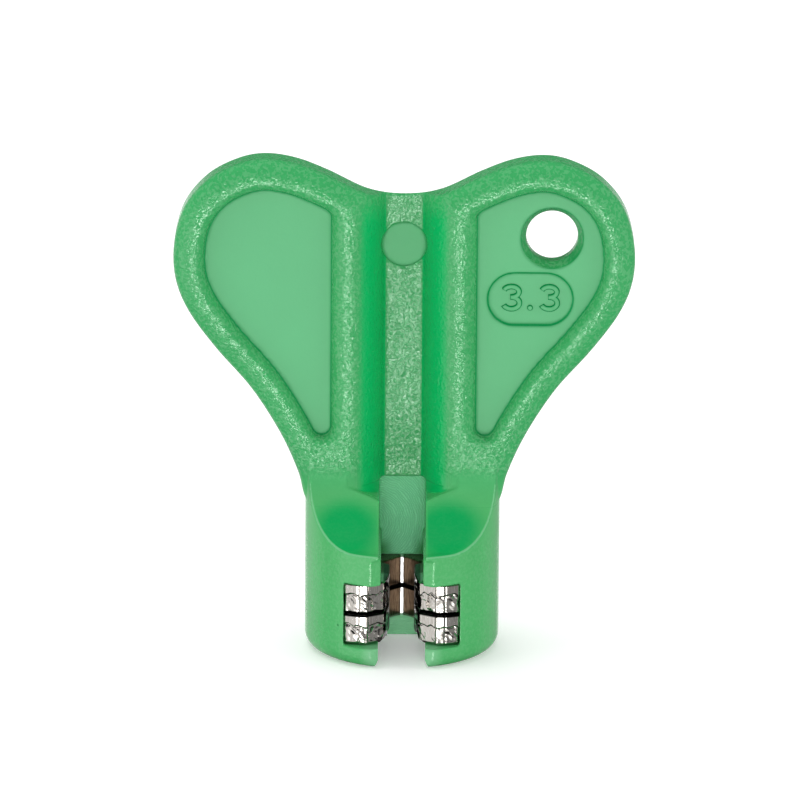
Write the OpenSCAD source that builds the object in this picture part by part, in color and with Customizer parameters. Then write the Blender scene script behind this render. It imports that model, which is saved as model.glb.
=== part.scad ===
// Butterfly spoke wrench: a moulded handle with two wings, and two jaw plates
// stacked in its barrel. The barrel stands on the XY plane around the Z axis,
// and its slot opens to the front, towards -Y. Depths are measured from the
// axis, positive towards the front.

/* [Wings] */
// Width across both wings
wing_span = 50; // [46:1:58]
// Height from the foot of the barrel to the tops of the wings
handle_height = 55; // [52:1:62]
// Depth of the saddle below the tops of the wings
saddle_drop = 4.4; // [3.4:0.2:8]
// Thickness across the beads that frame the wings
wing_thickness = 6; // [5.4:0.2:7]
// Radius of the round outer edge of the wings
edge_radius = 1.7; // [1:0.1:2]
// Width of the bead, from the outer edge to the floor of the pocket
bead_width = 3.3; // [3:0.1:4]
// Depth of each pocket below the crest of its bead
pocket_depth = 1.5; // [0.6:0.1:1.8]
// Distance from the axis to the straight edge of each pocket
pocket_edge = 7.8; // [7.6:0.1:9]
// Radius in the corners of the pockets
pocket_corner = 1.1; // [0.6:0.1:1.4]

/* [Barrel] */
// Diameter of the barrel
barrel_diameter = 21.3; // [20.4:0.1:24]
// Height of the flat top of the barrel
barrel_height = 12.9; // [12:0.1:14]
// Height over which the barrel draws in to the wings
shoulder_rise = 6.8; // [6.2:0.1:9]
// Extra rise of the shoulder behind the slot
rear_rise = 2.2; // [1.9:0.1:3]
// Radius of the edge around the foot of the barrel
foot_radius = 1.9; // [0.6:0.1:2.2]

/* [Channel and slot] */
// Width of the flat floor of the channel between the wings
channel_floor_width = 4.2; // [3.4:0.1:5]
// Width of the channel between the crests of its sides
channel_width = 10.5; // [9:0.1:12.2]
// How far the floor of the channel lies behind the axis
channel_setback = 1.2; // [1.1:0.05:1.5]
// Width of the slot above the jaws
slot_width = 5.1; // [4.4:0.1:5.6]
// Width of the slot through the barrel's mouth
mouth_width = 4.6; // [4.2:0.1:5]
// Width of the flat along each edge of the mouth
mouth_flat = 1.1; // [0.4:0.1:1.4]
// How far the back wall of the slot lies behind the axis
slot_setback = 2.55; // [2.45:0.05:2.9]
// Height at which the slot ends and the channel starts
slot_top = 18.2; // [17:0.1:19]
// Diameter of the round ejector mark on the floor of the channel
ejector_diameter = 5; // [3:0.1:6]
// Distance from the saddle down to the centre of the ejector mark
ejector_drop = 5.65; // [4:0.05:12]

/* [Jaw plates] */
// Width across the flats of the nipple that the socket fits
nipple_flats = 3.3; // [3.1:0.01:3.5]
// Width of the gap that the spoke passes between the jaws
spoke_gap = 2.7; // [2.3:0.1:2.9]
// Thickness of each jaw plate
plate_thickness = 3.5; // [2.6:0.1:3.6]
// Height of the lower plate above the foot of the barrel
plate_base = 2.25; // [1.8:0.05:2.6]
// Width across each plate
plate_width = 12.6; // [11.4:0.1:13]
// Distance from the axis to the tips of the jaws
jaw_reach = 8.8; // [8:0.1:9.2]
// Distance from the axis to the back of each plate
plate_back = 6.4; // [5:0.1:7]
// Gap between the sides of the jaws and the windows around them
window_gap = 0.15; // [0.05:0.05:0.3]

/* [Hanging hole] */
// Diameter of the hole
hole_diameter = 5.6; // [4:0.1:6.4]
// Diameter of the flared lip of the hole
lip_diameter = 6.8; // [6.6:0.1:7.4]
// Depth of the flare
lip_depth = 1.1; // [0.4:0.1:1.6]
// Distance from the side of the right wing to the centre of the hole
hole_inset = 9; // [8.2:0.1:10]
// Distance from the top of the wing down to the centre of the hole
hole_drop = 8.6; // [8.2:0.1:10]

/* [Size mark] */
// Length of the recessed oval
oval_length = 9.4; // [8:0.1:10]
// Width of the recessed oval
oval_width = 6; // [4:0.1:6.4]
// Depth of the recessed oval
oval_depth = 0.35; // [0.1:0.05:0.5]
// Distance from the centre of the hole in to the centre of the oval
oval_shift = 2.3; // [2:0.1:2.8]
// Distance from the centre of the hole down to the centre of the oval
oval_drop = 6.85; // [6.4:0.05:7.4]

/* [Hidden] */
$fn = 96;

// How far each cut runs past the surface that it opens
overrun = 1;
// How far the front of the wings is in front of where the shoulder runs out
shoulder_draw = 6;
// Depth of the round ejector mark
ejector_depth = 0.1;
// Land left along the crest of each bead
crest_land = 0.7;
// How far the straight sides of the rear pockets lie outside the front floors
rear_draw = 0.4;
// Where the wings leave the barrel, and where they end inside it
neck_share = 0.6;
root_share = 0.2;
// Pull of the shoulder's curve towards its inner corner, from its top and its foot
shoulder_top_share = 0.5;
shoulder_foot_share = 0.25;
// Half the width of the flat in the corner of the socket
relief_share = 0.09;
// Where the windows start beside the jaws
window_share = 0.7;

barrel_radius = barrel_diameter / 2;
half_span = wing_span / 2;
half_thickness = wing_thickness / 2;
pocket_floor = half_thickness - pocket_depth;
bead_inside = bead_width - edge_radius - crest_land;
shoulder_top = barrel_height + shoulder_rise;
saddle_height = handle_height - saddle_drop;
hole_reach = half_span - hole_inset;
hole_height = handle_height - hole_drop;
neck_height = barrel_height + neck_share * shoulder_rise;
root_height = barrel_height + root_share * shoulder_rise;
mouth_top = barrel_height - mouth_flat / 2;
plate_top = plate_base + 2 * plate_thickness;
socket_corner = nipple_flats / sqrt(2);
socket_relief = relief_share * nipple_flats;
window_inside = window_share * jaw_reach;

// Steps in each stretch of the outline, in a quarter round and in a corner
stretch_steps = 4;
round_steps = 5;
corner_steps = 6;
ramp_steps = 10;

// Outline from the middle of the saddle to the top of a wing: the first figure
// is a share of half the span, the second of the rise from saddle to top
saddle_shares = [[0, 0], [0.16, 0.13], [0.335, 0.6], [0.475, 0.9], [0.61, 1]];
// The same outline on down to the neck: the first figure is a share of how far
// the wing reaches past the barrel, the second of the rise from neck to top
flank_shares = [
    [0.53, 0.983], [0.75, 0.936], [0.92, 0.856], [0.995, 0.751], [0.985, 0.648],
    [0.885, 0.552], [0.68, 0.444], [0.41, 0.325], [0.19, 0.192], [0.055, 0.077], [0, 0]
];
// Mouth of a jaw from the gap for the spoke round its tip: the first figure is
// a share of the way from the gap to the side, the second of the reach
jaw_shares = [
    [0, 0.43], [0.04, 0.625], [0.08, 0.8], [0.17, 0.885], [0.32, 0.965],
    [0.48, 1], [0.69, 1], [0.88, 0.955], [1, 0.875]
];

// Point at share t of a curve that runs smoothly from b to c
function stretch(a, b, c, d, t) =
    (2 * b + (c - a) * t + (2 * a - 5 * b + 4 * c - d) * t ^ 2
    + (3 * b - a - 3 * c + d) * t ^ 3) / 2;

// Smooth open curve through all but the first and the last of the points
function smooth(p) = [
    for (i = [1 : len(p) - 3], j = [0 : stretch_steps - 1])
        stretch(p[i - 1], p[i], p[i + 1], p[i + 2], j / stretch_steps)
];

// Point at share t of a curve from a to d that leaves for b and arrives from c
function bend(a, b, c, d, t) =
    a * (1 - t) ^ 3 + 3 * b * t * (1 - t) ^ 2 + 3 * c * t ^ 2 * (1 - t) + d * t ^ 3;

// Outward direction of a clockwise outline at each of its points
function outward(p) = [
    for (i = [0 : len(p) - 1])
        let (step = p[(i + 1) % len(p)] - p[(i + len(p) - 1) % len(p)])
            [-step.y, step.x] / norm(step)
];

saddle_points = [
    for (s = saddle_shares)
        [s.x * half_span, saddle_height + s.y * (handle_height - saddle_height)]
];
flank_points = [
    for (s = flank_shares)
        [barrel_radius + s.x * (half_span - barrel_radius),
         neck_height + s.y * (handle_height - neck_height)]
];
root_point = [barrel_radius - edge_radius, root_height];
mirrored_point = [-saddle_points[1].x, saddle_points[1].y];
half_outline = smooth(concat(
    [mirrored_point], saddle_points, flank_points, [root_point, root_point]));
root_middle = [0, half_outline[len(half_outline) - 1].y];
outline = concat(
    [root_middle],
    [for (i = [len(half_outline) - 1 : -1 : 1]) [-half_outline[i].x, half_outline[i].y]],
    half_outline);
outline_out = outward(outline);

// Solid through rings that have as many points each. The whole of an end ring
// is in sight of the ring's first point.
module loft(rings) {
    n = len(rings[0]);
    last = len(rings) - 1;
    polyhedron(
        points = [for (ring = rings) each ring],
        faces = concat(
            [[for (i = [n - 1 : -1 : 0]) i]],
            [for (j = [0 : last - 1], i = [0 : n - 1])
                [j * n + i, j * n + (i + 1) % n, (j + 1) * n + (i + 1) % n]],
            [for (j = [0 : last - 1], i = [0 : n - 1])
                [j * n + i, (j + 1) * n + (i + 1) % n, (j + 1) * n + i]],
            [[for (i = [0 : n - 1]) last * n + i]]));
}

// Outline of the wings drawn in by d, at a depth
function wing_ring(d, depth) = [
    for (i = [0 : len(outline) - 1])
        let (p = outline[i] - d * outline_out[i]) [p.x, -depth, p.y]
];

// Both wings as one plate with round edges
module wings() {
    side = half_thickness - edge_radius;
    turn = 90 / round_steps;
    loft(concat(
        [for (a = [90 : -turn : 0])
            wing_ring(edge_radius * (1 - cos(a)), -side - edge_radius * sin(a))],
        [for (a = [0 : turn : 90])
            wing_ring(edge_radius * (1 - cos(a)), side + edge_radius * sin(a))]));
}

// Middle line of the corners of the right pocket, and the directions round it
core_inset = bead_width + pocket_corner;
core_side = pocket_edge + pocket_corner;
half_out = [for (i = [0 : len(half_outline) - 1]) outline_out[len(half_outline) + i]];
core_all = [for (i = [0 : len(half_outline) - 1]) half_outline[i] - core_inset * half_out[i]];
core_first = [for (i = [1 : len(core_all) - 1]) if (core_all[i].x > core_side) i][0];
core_last = [for (i = [core_first : len(core_all) - 2])
    if (core_all[i].x > core_side && core_all[i + 1].x <= core_side) i][0];

// Point where the line from p to q crosses the side of the pocket's core
function crossing(p, q) = p + (q - p) * (core_side - p.x) / (q.x - p.x);

top_corner = crossing(core_all[core_first - 1], core_all[core_first]);
tip_corner = crossing(core_all[core_last], core_all[core_last + 1]);
top_angle = atan2(half_out[core_first].y, half_out[core_first].x);
tip_angle = atan2(half_out[core_last].y, half_out[core_last].x);
pocket_core = concat(
    [tip_corner],
    [for (k = [0 : corner_steps - 1]) top_corner],
    [for (i = [core_first : core_last]) core_all[i]],
    [for (k = [1 : corner_steps - 1]) tip_corner]);
pocket_out = concat(
    [[-1, 0]],
    [for (k = [0 : corner_steps - 1])
        let (a = 180 + (top_angle - 180) * k / corner_steps) [cos(a), sin(a)]],
    [for (i = [core_first : core_last]) half_out[i]],
    [for (k = [1 : corner_steps - 1])
        let (a = tip_angle + (-180 - tip_angle) * k / corner_steps) [cos(a), sin(a)]]);

// Edge of a pocket's floor drawn out by d, at a depth; side is 1 on the right
function pocket_ring(side, d, depth) = [
    for (i = [0 : len(pocket_core) - 1])
        let (p = pocket_core[i] + (pocket_corner + d) * pocket_out[i]) [side * p.x, -depth, p.y]
];

// Cut for a front pocket, whose sides round up to the crest of the bead
module pocket(side) {
    turn = 90 / round_steps;
    rings = concat(
        [for (a = [0 : turn : 90])
            pocket_ring(side, bead_inside * (1 - cos(a)), pocket_floor + pocket_depth * sin(a))],
        [pocket_ring(side, bead_inside, half_thickness + overrun)]);
    loft(side > 0 ? rings : [for (i = [len(rings) - 1 : -1 : 0]) rings[i]]);
}

// Cut for both rear pockets, whose sides are straight
module rear_pockets() {
    for (side = [-1, 1])
        translate([0, pocket_floor, 0]) rotate([90, 0, 0])
            translate([0, 0, -pocket_depth - overrun]) linear_extrude(pocket_depth + overrun)
                polygon([for (p = pocket_ring(side, rear_draw, 0)) [p.x, p.z]]);
}

// Curve of the shoulder from the wings down to the top of the barrel
function shoulder_curve(rise) = [
    for (j = [0 : ramp_steps])
        bend(
            [half_thickness, barrel_height + rise],
            [half_thickness, barrel_height + rise * (1 - shoulder_top_share)],
            [half_thickness + shoulder_draw * (1 - shoulder_foot_share), barrel_height],
            [half_thickness + shoulder_draw, barrel_height],
            j / ramp_steps)
];

// Side view of the barrel with its shoulders, as points of y and z
function barrel_side() = concat(
    [for (p = shoulder_curve(shoulder_rise)) [-p.x, p.y]],
    [[-barrel_radius - overrun, barrel_height], [-barrel_radius - overrun, -overrun],
     [barrel_radius + overrun, -overrun], [barrel_radius + overrun, barrel_height]],
    [for (i = [ramp_steps : -1 : 0]) shoulder_curve(shoulder_rise + rear_rise)[i]]);

// Round bar with a rounded foot
module round_bar(h) {
    rotate_extrude() {
        square([barrel_radius - foot_radius, h]);
        translate([0, foot_radius]) square([barrel_radius, h - foot_radius]);
        translate([barrel_radius - foot_radius, foot_radius]) circle(foot_radius);
    }
}

// Solid barrel with its shoulders
module barrel() {
    intersection() {
        round_bar(shoulder_top + rear_rise);
        translate([-barrel_radius - overrun, 0, 0]) rotate([90, 0, 90])
            linear_extrude(2 * (barrel_radius + overrun)) polygon(barrel_side());
    }
}

// Cut for the channel between the wings
module channel() {
    half_floor = channel_floor_width / 2;
    reach = (channel_width - channel_floor_width) / 2;
    lift = half_thickness + channel_setback;
    front = -barrel_radius - overrun;
    ramp = [
        for (j = [0 : ramp_steps])
            let (s = j / ramp_steps)
                [half_floor + reach * s, channel_setback - lift * (1 - cos(180 * s)) / 2]
    ];
    translate([0, 0, slot_top]) linear_extrude(handle_height - slot_top + overrun)
        polygon(concat(
            ramp,
            [[channel_width / 2, front], [-channel_width / 2, front]],
            [for (i = [ramp_steps : -1 : 0]) [-ramp[i].x, ramp[i].y]]));
}

// Cut of a width that is open to the front, from the back wall of the slot
module slot_cut(width, low, high) {
    translate([-width / 2, -barrel_radius - overrun, low])
        cube([width, barrel_radius + overrun + slot_setback, high - low]);
}

// Cut that leaves a flat along each edge of the mouth
module mouth_cut() {
    outer = mouth_width / 2 + mouth_flat;
    surface = sqrt(barrel_radius ^ 2 - outer ^ 2);
    inner = surface - mouth_flat / 2;
    front = barrel_radius + overrun;
    translate([0, 0, -overrun]) linear_extrude(mouth_top + overrun)
        polygon([[-mouth_width / 2, -inner], [mouth_width / 2, -inner], [outer, -surface],
                 [outer, -front], [-outer, -front], [-outer, -surface]]);
}

// Plan of a jaw plate without its mouth
function plate_rim() = let (half = plate_width / 2) concat(
    [for (s = jaw_shares) [jaw_x(s.x), -s.y * jaw_reach]],
    [for (j = [0 : ramp_steps])
        let (a = 90 * j / ramp_steps) [half * cos(a), plate_back * sin(a)]]);

// Distance from the axis at a share of the way from the spoke gap to the side
function jaw_x(share) = spoke_gap / 2 + share * (plate_width - spoke_gap) / 2;

// Inside of the socket on its right, from the back corner to the spoke gap
socket_points = [
    [socket_relief, socket_corner - socket_relief], [socket_corner, 0],
    [spoke_gap / 2, spoke_gap / 2 - socket_corner]
];

// Right half of a plan with the left half mirrored from it
function both_sides(right) = concat(
    right, [for (i = [len(right) - 1 : -1 : 0]) [-right[i].x, right[i].y]]);

// Seat of both plates, open over the mouth between their jaws
module plate_seat() {
    side = plate_width / 2 + window_gap;
    translate([0, 0, plate_base]) {
        linear_extrude(plate_top - plate_base) polygon(both_sides(plate_rim()));
        translate([-side, -barrel_radius - overrun, 0])
            cube([2 * side, barrel_radius + overrun - window_inside, plate_top + window_gap - plate_base]);
    }
}

// Cut for the hanging hole, with its flare on the front
module hole() {
    translate([hole_reach, 0, hole_height]) rotate([90, 0, 0]) {
        translate([0, 0, -half_thickness]) cylinder(d = hole_diameter, h = wing_thickness);
        translate([0, 0, pocket_floor - lip_depth])
            cylinder(d1 = hole_diameter, d2 = lip_diameter, h = lip_depth);
        translate([0, 0, pocket_floor]) cylinder(d = lip_diameter, h = overrun);
    }
}

// Cut for the recessed oval of the size mark
module oval() {
    straight = oval_length - oval_width;
    translate([hole_reach - oval_shift, 0, hole_height - oval_drop]) rotate([90, 0, 0])
        translate([0, 0, pocket_floor - oval_depth]) {
            for (side = [-1, 1]) translate([side * straight / 2, 0, 0])
                cylinder(d = oval_width, h = oval_depth + overrun);
            translate([-straight / 2, -oval_width / 2, 0])
                cube([straight, oval_width, oval_depth + overrun]);
        }
}

// Cut for the round ejector mark
module ejector_mark() {
    translate([0, channel_setback + ejector_depth, saddle_height - ejector_drop])
        rotate([90, 0, 0]) cylinder(d = ejector_diameter, h = 2 * ejector_depth);
}

// Wings with their pockets, before the barrel joins them
module pocketed_wings() {
    difference() {
        wings();
        pocket(1);
        pocket(-1);
        rear_pockets();
    }
}

// Moulded handle
module handle() {
    color([0.18, 0.66, 0.36]) difference() {
        union() {
            pocketed_wings();
            barrel();
        }
        channel();
        slot_cut(slot_width, mouth_top, slot_top);
        slot_cut(mouth_width, plate_base, mouth_top);
        slot_cut(slot_width, -overrun, plate_base);
        mouth_cut();
        plate_seat();
        hole();
        oval();
        ejector_mark();
    }
}

// One jaw plate, at a height
module jaw_plate(height) {
    color([0.72, 0.71, 0.69]) translate([0, 0, height]) linear_extrude(plate_thickness)
        polygon(both_sides(concat(socket_points, plate_rim())));
}

module upper_jaw_plate() { jaw_plate(plate_base + plate_thickness); }

module lower_jaw_plate() { jaw_plate(plate_base); }

handle();
upper_jaw_plate();
lower_jaw_plate();
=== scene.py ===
import math
from types import SimpleNamespace
import bmesh
import bpy
import numpy as np
from mathutils import Matrix, Vector


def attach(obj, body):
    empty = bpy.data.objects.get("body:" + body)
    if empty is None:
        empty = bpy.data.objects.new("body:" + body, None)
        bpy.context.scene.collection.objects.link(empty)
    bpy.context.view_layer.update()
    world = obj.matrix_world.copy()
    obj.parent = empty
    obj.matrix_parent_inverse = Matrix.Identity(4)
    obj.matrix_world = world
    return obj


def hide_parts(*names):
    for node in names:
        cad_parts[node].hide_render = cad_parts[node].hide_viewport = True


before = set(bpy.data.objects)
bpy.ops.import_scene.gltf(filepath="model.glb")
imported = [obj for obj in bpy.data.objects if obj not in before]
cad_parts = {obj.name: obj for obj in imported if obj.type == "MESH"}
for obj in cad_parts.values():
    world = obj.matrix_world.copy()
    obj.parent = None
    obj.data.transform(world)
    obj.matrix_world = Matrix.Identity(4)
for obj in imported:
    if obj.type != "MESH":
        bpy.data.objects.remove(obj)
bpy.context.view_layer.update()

# Lengths are millimetres until a finished mesh is scaled to metres.
toMetres = 0.001

# How far a cut runs past the solid, past a thin wall, and into the cut beside it.
overrun, shortOverrun, meet = 2.0, 1.0, 0.01

# Points along each curve, and round each turned form.
counts = {"outline": 9, "edge": 13, "pocketCorner": 12, "pocketEdge": 10, "foot": 9, "shoulder": 25,
          "barrel": 160, "roundCut": 96, "ramp": 31, "oval": 33, "plateBack": 17, "upperBow": 24,
          "lowerBow": 26, "point": 28}


# Catmull-Rom through the points, without the last one.
def smoothCurve(points, steps):
    p = [np.array(q, float) for q in points]
    p = [2 * p[0] - p[1]] + p + [2 * p[-1] - p[-2]]
    out = []
    for i in range(1, len(p) - 2):
        a, b, c, d = p[i - 1:i + 3]
        for j in range(steps):
            t = j / steps
            out.append((2 * b + (c - a) * t + (2 * a - 5 * b + 4 * c - d) * t ** 2
                        + (3 * b - a - 3 * c + d) * t ** 3) / 2)
    return np.array(out)


def normalsOf(p):
    step = np.roll(p, -1, axis=0) - np.roll(p, 1, axis=0)
    n = np.stack([-step[:, 1], step[:, 0]], axis=1)
    return n / np.linalg.norm(n, axis=1)[:, None]


def arc(start, end, steps):
    return np.radians(np.linspace(start, end, steps))


def newObject(name, verts, faces):
    mesh = bpy.data.meshes.new(name)
    mesh.from_pydata([tuple(map(float, v)) for v in verts], [], faces)
    mesh.validate()
    mesh.update()
    obj = bpy.data.objects.new(name, mesh)
    bpy.context.scene.collection.objects.link(obj)
    return obj


def fixNormals(obj):
    bm = bmesh.new()
    bm.from_mesh(obj.data)
    bmesh.ops.recalc_face_normals(bm, faces=bm.faces)
    bm.to_mesh(obj.data)
    bm.free()


# Closed solid through rings of equal length; the first ring's face looks away from the last.
def loft(name, rings):
    n = len(rings[0])
    verts = np.concatenate(rings)
    faces = [tuple(range(n - 1, -1, -1))]
    for j in range(len(rings) - 1):
        for i in range(n):
            k = (i + 1) % n
            faces.append((j * n + i, j * n + k, (j + 1) * n + k, (j + 1) * n + i))
    faces.append(tuple(range((len(rings) - 1) * n, len(rings) * n)))
    return newObject(name, verts, faces)


# Solid from low to high along an axis, its outline's points lying along the two others.
def prism(name, outline, low, high, axis):
    rest = [k for k in range(3) if k != axis]
    rings = []
    for level in (low, high):
        p = np.zeros((len(outline), 3))
        p[:, rest[0]], p[:, rest[1]] = np.array(outline, float).T
        p[:, axis] = level
        rings.append(p)
    obj = loft(name, rings)
    fixNormals(obj)
    return obj


def boxCut(name, lows, highs):
    (x0, y0, z0), (x1, y1, z1) = lows, highs
    return prism(name, [(x0, y0), (x1, y0), (x1, y1), (x0, y1)], z0, z1, 2)


# Solid of revolution about Z, from points of radius and height with both ends on the axis.
def turned(name, profile, steps):
    verts, faces = [(0, 0, profile[0][1])], []
    middle = profile[1:-1]
    for r, z in middle:
        for i in range(steps):
            a = 2 * math.pi * i / steps
            verts.append((r * math.cos(a), r * math.sin(a), z))
    verts.append((0, 0, profile[-1][1]))
    last = len(verts) - 1
    top = 1 + (len(middle) - 1) * steps
    for i in range(steps):
        k = (i + 1) % steps
        faces.append((0, 1 + k, 1 + i))
        for j in range(len(middle) - 1):
            low, high = 1 + j * steps, 1 + (j + 1) * steps
            faces.append((low + i, low + k, high + k, high + i))
        faces.append((top + i, top + k, last))
    return newObject(name, verts, faces)


# Cut turned about a line along Y, from points of radius and depth.
def roundCut(name, x, z, profile):
    obj = turned(name, profile, counts["roundCut"])
    for v in obj.data.vertices:
        r0, r1, depth = v.co
        v.co = (x + r0, -depth, z + r1)
    fixNormals(obj)
    return obj


# Gives the object the mesh that its modifiers make, and drops them.
def applyModifiers(obj):
    graph = bpy.context.evaluated_depsgraph_get()
    mesh = bpy.data.meshes.new_from_object(obj.evaluated_get(graph))
    obj.modifiers.clear()
    old = obj.data
    obj.data = mesh
    bpy.data.meshes.remove(old)


def combine(obj, others, operation):
    for other in others:
        m = obj.modifiers.new("combine", "BOOLEAN")
        m.operation, m.solver, m.object = operation, "MANIFOLD", other
        applyModifiers(obj)
        bpy.data.objects.remove(other)
    return obj


# Handle: one moulding. The shares give the wing's outline from the middle of the saddle to the neck.
handleLook = {
    "halfSpan": 25.0, "top": 55.0, "saddle": 50.6, "neck": 16.98, "root": (8.95, 14.26),
    "radius": 10.65, "barrelTop": 12.9, "rise": 7.6, "rearRise": 2.2, "draw": 6.0, "foot": 1.5,
    "shoulderTop": 0.55, "shoulderFoot": 0.25, "thick": 3.0, "edge": 1.7, "edgeReach": 2.35,
    "bead": 3.3, "pocket": 1.5, "pocketSide": 7.8, "pocketCorner": 1.1, "innerReach": 0.65,
    "land": 0.05, "voxel": 0.16, "smoothing": 3, "smoothFactor": 0.5,
}
saddleShares = [(0, 0), (0.16, 0.13), (0.335, 0.6), (0.475, 0.9), (0.61, 1)]
flankShares = [(0.53, 0.983), (0.75, 0.936), (0.92, 0.856), (0.995, 0.751), (0.985, 0.648),
               (0.885, 0.552), (0.68, 0.444), (0.41, 0.325), (0.19, 0.192), (0.055, 0.077), (0, 0)]


def wingOutline():
    h = handleLook
    tall, low, wide = h["top"] - h["saddle"], h["top"] - h["neck"], h["halfSpan"] - h["radius"]
    pts = [(sx * h["halfSpan"], h["saddle"] + sz * tall) for sx, sz in saddleShares]
    pts += [(h["radius"] + sx * wide, h["neck"] + sz * low) for sx, sz in flankShares]
    pts += [h["root"]]
    mirrored = [(-pts[1][0], pts[1][1])]
    half = smoothCurve(mirrored + pts, counts["outline"])[counts["outline"]:]
    left = half[1:][::-1] * [-1, 1]
    return np.concatenate([half, left]), len(half)


outline, halfCount = wingOutline()
outlineOut = normalsOf(outline)


def wingRing(inset, depth):
    p = outline - inset * outlineOut
    return np.stack([p[:, 0], np.full(len(p), -depth), p[:, 1]], axis=1)


def makeWings():
    h = handleLook
    r, reach, side = h["edge"], h["edgeReach"], h["thick"] - h["edge"]
    angles = arc(0, 90, counts["edge"])
    rings = [wingRing(reach * (1 - math.cos(a)), -side - r * math.sin(a)) for a in angles[::-1]]
    rings += [wingRing(reach * (1 - math.cos(a)), side + r * math.sin(a)) for a in angles]
    return loft("wings", rings)


# Line that the pocket's corners are rounded from, and the way out at each of its points.
def pocketCore():
    h = handleLook
    inset, side = h["bead"] + h["pocketCorner"], h["pocketSide"] + h["pocketCorner"]
    half, out = outline[:halfCount], outlineOut[:halfCount]
    core = half - inset * out
    first = next(i for i in range(1, halfCount - 1) if core[i][0] > side)
    last = first
    while core[last + 1][0] > side:
        last += 1

    def crossing(p, q):
        return p + (q - p) * (side - p[0]) / (q[0] - p[0])

    top, tip = crossing(core[first - 1], core[first]), crossing(core[last], core[last + 1])
    topAngle = math.atan2(out[first][1], out[first][0])
    tipAngle = math.atan2(out[last][1], out[last][0])
    steps = counts["pocketCorner"]
    points, ways = [], []
    for k in range(steps):
        a = math.pi + (topAngle - math.pi) * k / steps
        points.append(top)
        ways.append((math.cos(a), math.sin(a)))
    for i in range(first, last + 1):
        points.append(core[i])
        ways.append(out[i])
    for k in range(1, steps + 1):
        a = tipAngle + (-math.pi - tipAngle) * k / steps
        points.append(tip)
        ways.append((math.cos(a), math.sin(a)))
    return np.array(points), np.array(ways)


corePoints, coreOut = pocketCore()


def makePocket(name, side, face):
    h = handleLook
    floor, reach = h["thick"] - h["pocket"], h["bead"] - h["edgeReach"] - h["land"]
    spread = reach + h["innerReach"] * np.clip(-coreOut[:, :1], 0, 1) ** 3
    rings = []
    for a in arc(0, 90, counts["pocketEdge"]):
        p = corePoints + (h["pocketCorner"] + spread * (1 - math.cos(a))) * coreOut
        depth = floor + h["pocket"] * math.sin(a)
        rings.append(np.stack([side * p[:, 0], np.full(len(p), -face * depth), p[:, 1]], axis=1))
    end = rings[-1].copy()
    end[:, 1] = -face * (h["thick"] + shortOverrun)
    obj = loft(name, rings + [end])
    fixNormals(obj)
    return obj


# Point on a cubic curve with the ends a and d.
def bend(a, b, c, d, t):
    a, b, c, d = (np.array(q, float) for q in (a, b, c, d))
    return a * (1 - t) ** 3 + 3 * b * t * (1 - t) ** 2 + 3 * c * t ** 2 * (1 - t) + d * t ** 3


def shoulderCurve(rise):
    h = handleLook
    t, z, draw = h["thick"], h["barrelTop"], h["draw"]
    top, foot = rise * (1 - h["shoulderTop"]), draw * (1 - h["shoulderFoot"])
    ends = (t, z + rise), (t, z + top), (t + foot, z), (t + draw, z)
    return [bend(*ends, s) for s in np.linspace(0, 1, counts["shoulder"])]


def makeBarrel():
    h = handleLook
    r, f, far = h["radius"], h["foot"], h["radius"] + overrun
    rearRise = h["rise"] + h["rearRise"]
    top = h["barrelTop"] + rearRise
    foot = [(r - f + f * math.sin(a), f - f * math.cos(a)) for a in arc(0, 90, counts["foot"])]
    barrel = turned("barrel", [(0, 0)] + foot + [(r, top), (0, top)], counts["barrel"])
    over = top + overrun
    cuts = []
    for name, face, rise in (("frontShoulder", -1, h["rise"]), ("rearShoulder", 1, rearRise)):
        loop = [(face * y, z) for y, z in shoulderCurve(rise)]
        loop += [(face * far, h["barrelTop"]), (face * far, over), (face * h["thick"], over)]
        cuts.append(prism(name, loop, -far, far, 0))
    return combine(barrel, cuts, "DIFFERENCE")


# Channel between the wings, slot in the barrel, and the seat and windows of the jaw plates.
slotLook = {
    "floorHalf": 2.1, "crestHalf": 6.1, "ease": 0.5, "setback": 1.2, "top": 18.6, "low": 17.3,
    "endSlope": 0.4, "slotHalf": 2.55, "mouthHalf": 2.3, "mouthTop": 12.35, "wall": 2.55, "flat": 1.1,
    "seatLow": 2.25, "seatHigh": 9.25, "windowHalf": 6.33, "windowTop": 9.4, "windowIn": 6.16,
    "leadIn": 0.4, "leadInHeight": 0.9,
}


# The channel runs down to its slanted ends beside the slot.
def channelCut(far):
    s, h = slotLook, handleLook
    widen, lift = s["crestHalf"] - s["floorHalf"], h["thick"] + s["setback"]
    ramp = []
    for t in np.linspace(0, 1, counts["ramp"]):
        climb = (1 - math.cos(math.pi * t ** s["ease"])) / 2
        ramp.append((s["floorHalf"] + widen * t, s["setback"] - lift * climb))
    loop = ramp + [(s["crestHalf"], -far), (-s["crestHalf"], -far)] + [(-x, y) for x, y in ramp[::-1]]
    channel = prism("channel", loop, s["low"], h["top"] + overrun, 2)
    under, outer = s["low"] - shortOverrun, s["low"] + s["endSlope"] * (far - s["slotHalf"])
    wedges = []
    for side in (-1, 1):
        near = side * s["slotHalf"]
        wedge = [(near, under), (side * far, under), (side * far, outer), (near, s["low"])]
        wedges.append(prism("channelEnd", wedge, -far - shortOverrun, far, 1))
    return combine(channel, wedges, "DIFFERENCE")


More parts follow.
